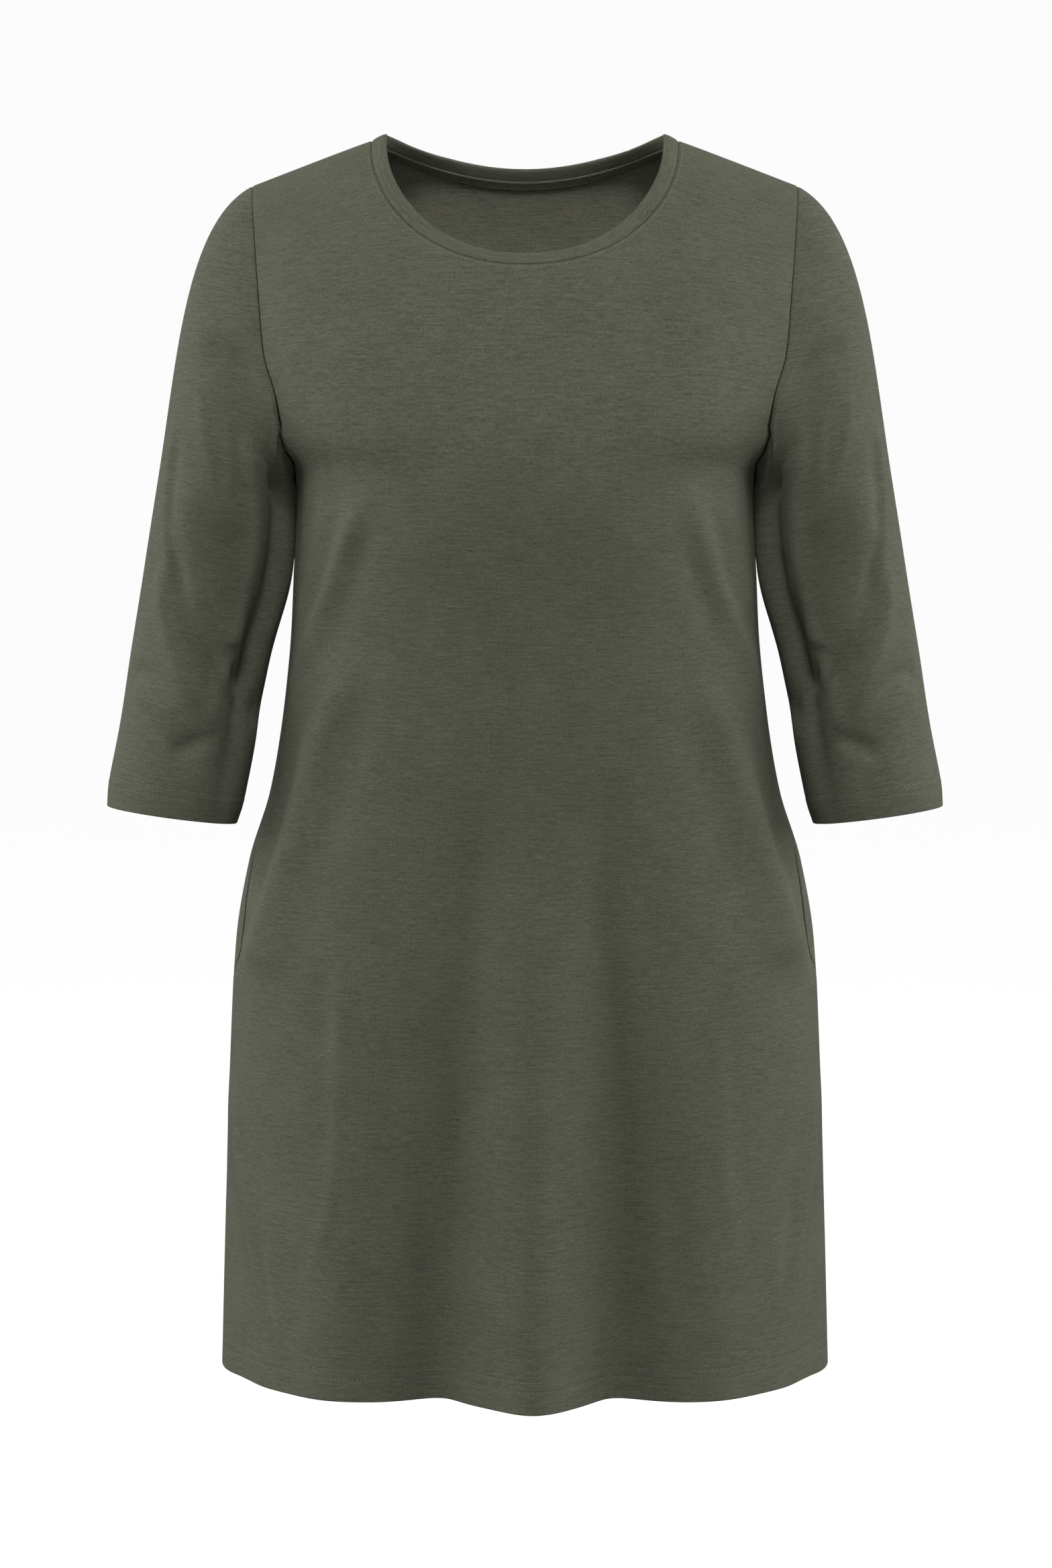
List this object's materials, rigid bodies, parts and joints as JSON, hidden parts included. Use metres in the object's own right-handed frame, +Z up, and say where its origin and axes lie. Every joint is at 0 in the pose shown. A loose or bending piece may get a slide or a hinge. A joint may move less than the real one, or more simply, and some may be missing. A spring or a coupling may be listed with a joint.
{
  "type": "tunic top",
  "caption": "Long jersey tunic top filled out as when worn, with a scooped banded neck, elbow-length sleeves, side-seam pockets and a double-stitched hem.",
  "frame": {"origin": "midway between the two neck points, where the shoulder seams meet the neckband and the wearer's shoulders carry the garment", "axes": "+Z up, the front of the garment faces -Y, +X to the right in the front view"},
  "size_m": [0.5806, 0.3121, 0.8609],
  "materials": {
    "jersey": "matte heathered olive-grey fine cotton jersey"
  },
  "bodies": {
    "root": {"front_panel": "jersey", "back_panel": "jersey", "neckband": "jersey", "neck_tape": "jersey", "sleeve_right": "jersey", "sleeve_left": "jersey", "pocket_bag_right": "jersey", "pocket_bag_left": "jersey"}
  },
  "joints": []
}
